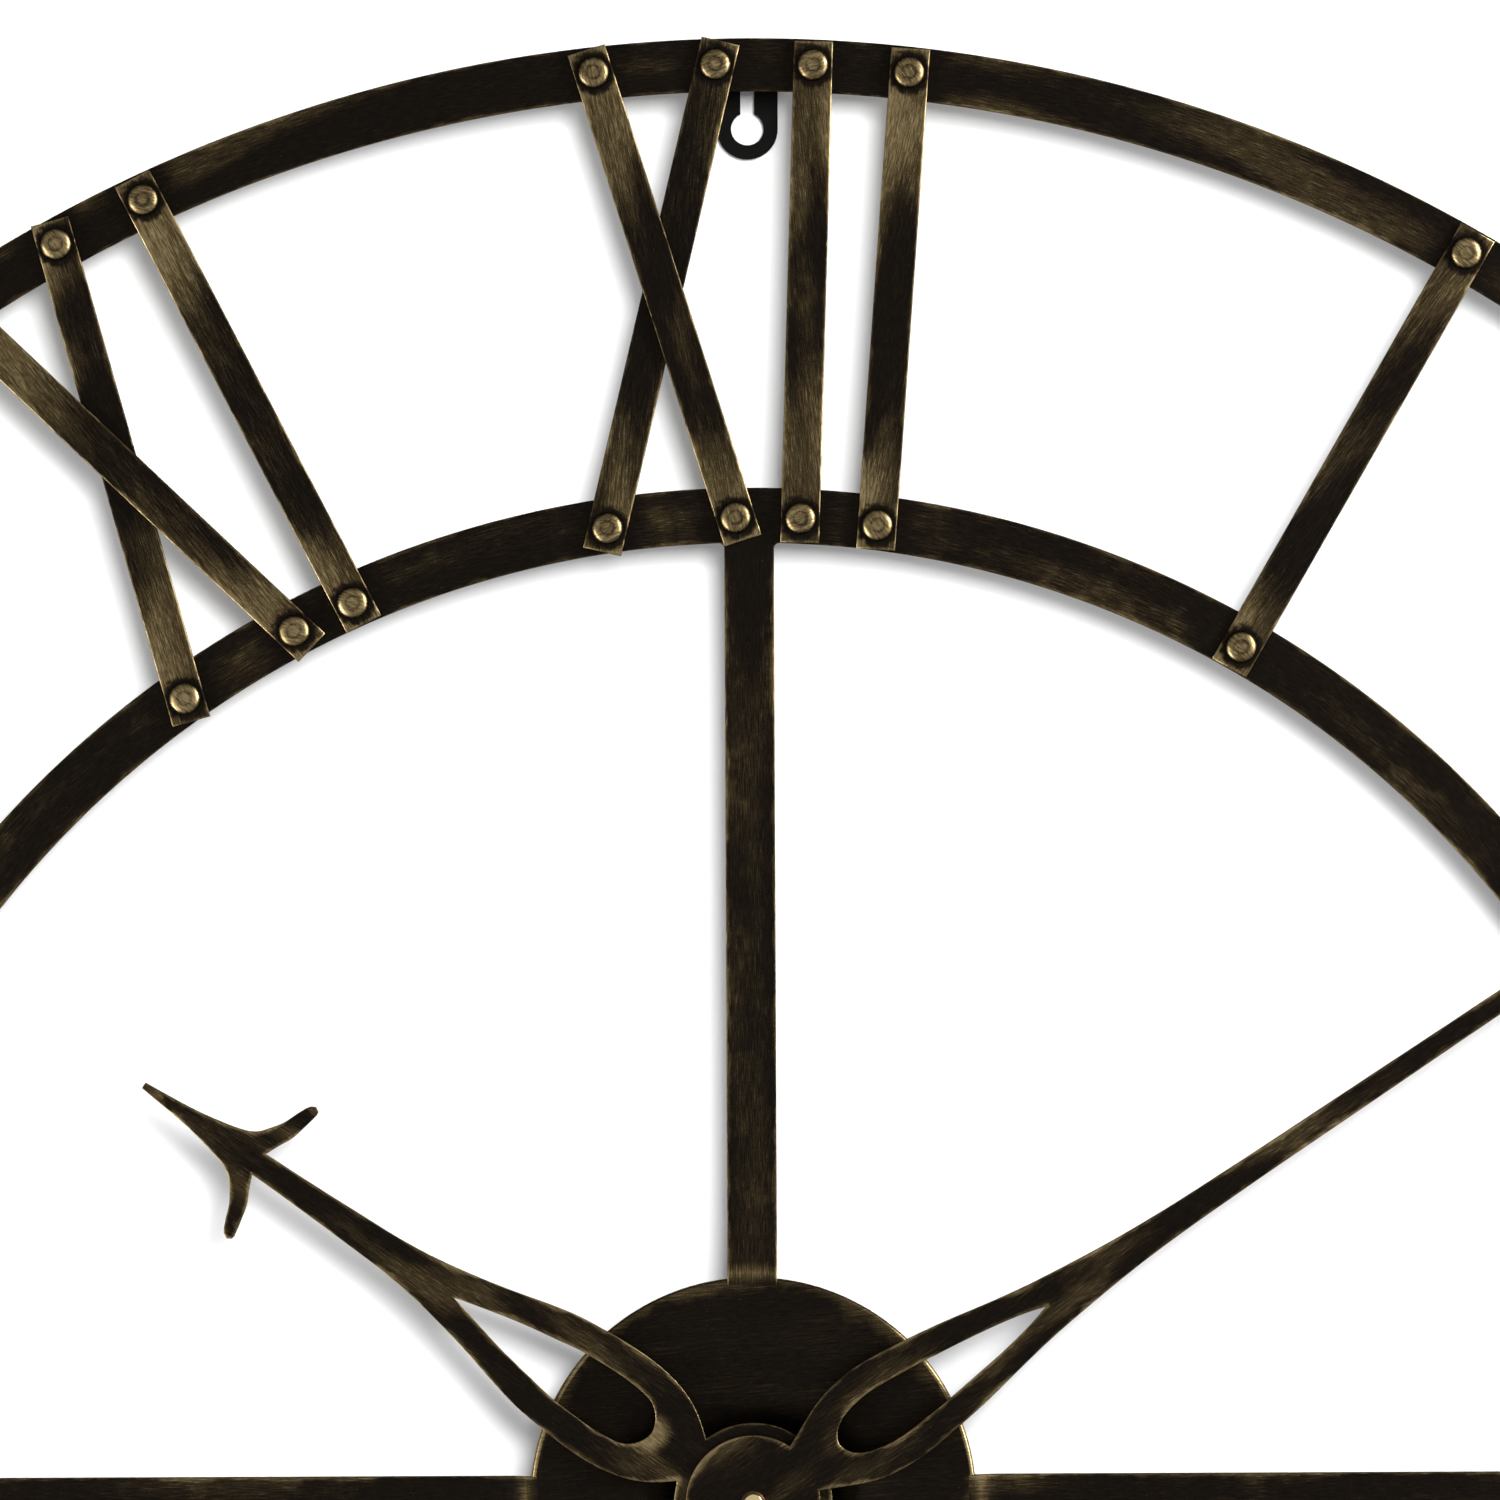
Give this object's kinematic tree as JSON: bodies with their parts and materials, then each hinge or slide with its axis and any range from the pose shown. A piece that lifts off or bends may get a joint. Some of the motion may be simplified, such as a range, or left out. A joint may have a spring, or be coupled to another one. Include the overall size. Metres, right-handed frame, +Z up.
{
  "type": "wall clock",
  "caption": "Open-frame round wall clock: two flat metal rings joined by riveted strip Roman numerals, four spokes, a round hub, pierced hands and a battery movement.",
  "frame": {"origin": "centre of the dial on the wall plane, on the flat back of the movement's cover", "axes": "+Z up to twelve o'clock, +X to three o'clock as seen from the room, +Y into the wall along the hands' axis"},
  "size_m": [0.8005, 0.0298, 0.8004],
  "materials": {
    "patina_metal": "dark brown-black patina, rubbed back to antique gold on edges and in brushed patches",
    "hand_metal": "dark patina with lengthwise brushed antique gold",
    "hanger_metal": "satin black",
    "brass": "polished",
    "case_plastic": "fine matt black moulding",
    "rubber": "matt",
    "gear_plastic": "natural moulding",
    "steel": "satin",
    "copper_winding": "enamelled wire",
    "circuit_board": "solder mask",
    "battery_jacket": "printed jacket with plain bands"
  },
  "bodies": {
    "frame": {"bush_nut": "brass", "circuit_board": "circuit_board", "coil": "copper_winding", "contact_negative": "steel", "contact_positive": "steel", "hanger_bracket": "hanger_metal", "hub_disc": "patina_metal", "movement_back_cover": "case_plastic", "movement_front_case": "case_plastic", "numeral_III_bar_1": "patina_metal", "numeral_III_bar_2": "patina_metal", "numeral_III_bar_3": "patina_metal", "numeral_II_bar_1": "patina_metal", "numeral_II_bar_2": "patina_metal", "numeral_IV_bar_1": "patina_metal", "numeral_IV_bar_2": "patina_metal", "numeral_IV_bar_3": "patina_metal", "numeral_IX_bar_1": "patina_metal", "numeral_IX_bar_2": "patina_metal", "numeral_IX_bar_3": "patina_metal", "numeral_I_bar_1": "patina_metal", "numeral_VIII_bar_1": "patina_metal", "numeral_VIII_bar_2": "patina_metal", "numeral_VIII_bar_3": "patina_metal", "numeral_VIII_bar_4": "patina_metal", "numeral_VIII_bar_5": "patina_metal", "numeral_VII_bar_1": "patina_metal", "numeral_VII_bar_2": "patina_metal", "numeral_VII_bar_3": "patina_metal", "numeral_VII_bar_4": "patina_metal", "numeral_VI_bar_1": "patina_metal", "numeral_VI_bar_2": "patina_metal", "numeral_VI_bar_3": "patina_metal", "numeral_V_bar_1": "patina_metal", "numeral_V_bar_2": "patina_metal", "numeral_XII_bar_1": "patina_metal", "numeral_XII_bar_2": "patina_metal", "numeral_XII_bar_3": "patina_metal", "numeral_XII_bar_4": "patina_metal", "numeral_XI_bar_1": "patina_metal", "numeral_XI_bar_2": "patina_metal", "numeral_XI_bar_3": "patina_metal", "numeral_X_bar_1": "patina_metal", "numeral_X_bar_2": "patina_metal", "outer_ring": "patina_metal", "rubber_gasket": "rubber", "spoked_inner_ring": "patina_metal", "stator": "steel"},
    "minute_shaft": {"centre_wheel": "steel", "minute_hand": "hand_metal", "hand_nut": "brass"},
    "hour_pipe": {"hour_wheel": "gear_plastic", "hour_hand": "hand_metal"},
    "minute_wheel": {"minute_wheel": "gear_plastic"},
    "setting_knob": {"setting_knob": "gear_plastic"},
    "third_wheel": {"third_wheel": "gear_plastic"},
    "seconds_wheel": {"seconds_wheel": "gear_plastic"},
    "intermediate_wheel": {"intermediate_wheel": "gear_plastic"},
    "rotor": {"rotor": "steel"},
    "battery": {"battery": "battery_jacket"}
  },
  "joints": [
    {"name": "minute_turn", "type": "hinge", "parent": "frame", "child": "minute_shaft", "pos_m": [0, -0.01, 0], "axis": [0, 1, 0], "continuous": true},
    {"name": "hour_turn", "type": "hinge", "parent": "frame", "child": "hour_pipe", "pos_m": [0, -0.01, 0], "axis": [0, 1, 0], "continuous": true},
    {"name": "minute_wheel_turn", "type": "hinge", "parent": "frame", "child": "minute_wheel", "pos_m": [-0.00831, -0.01, 0.0048], "axis": [0, 1, 0], "continuous": true},
    {"name": "setting_knob_turn", "type": "hinge", "parent": "frame", "child": "setting_knob", "pos_m": [-0.01291, -0.01, -0.00317], "axis": [0, 1, 0], "continuous": true},
    {"name": "third_wheel_turn", "type": "hinge", "parent": "frame", "child": "third_wheel", "pos_m": [0.00818, -0.01, 0.00573], "axis": [0, 1, 0], "continuous": true},
    {"name": "seconds_wheel_turn", "type": "hinge", "parent": "frame", "child": "seconds_wheel", "pos_m": [0.00964, -0.01, 0.01402], "axis": [0, 1, 0], "continuous": true},
    {"name": "intermediate_wheel_turn", "type": "hinge", "parent": "frame", "child": "intermediate_wheel", "pos_m": [0.00282, -0.01, 0.01522], "axis": [0, 1, 0], "continuous": true},
    {"name": "rotor_turn", "type": "hinge", "parent": "frame", "child": "rotor", "pos_m": [-0.00312, -0.01, 0.01522], "axis": [0, 1, 0], "continuous": true},
    {"name": "battery_slide", "type": "slide", "parent": "frame", "child": "battery", "axis": [0, 1, 0], "range_m": [0, 0.03]}
  ],
  "couplings": [
    {"joint": "hour_turn", "follows": "minute_turn", "ratio": 0.083333},
    {"joint": "minute_wheel_turn", "follows": "minute_turn", "ratio": -0.33333},
    {"joint": "setting_knob_turn", "follows": "minute_turn", "ratio": 1.2},
    {"joint": "third_wheel_turn", "follows": "minute_turn", "ratio": -8},
    {"joint": "seconds_wheel_turn", "follows": "minute_turn", "ratio": 60},
    {"joint": "intermediate_wheel_turn", "follows": "minute_turn", "ratio": -360},
    {"joint": "rotor_turn", "follows": "minute_turn", "ratio": 1800}
  ]
}
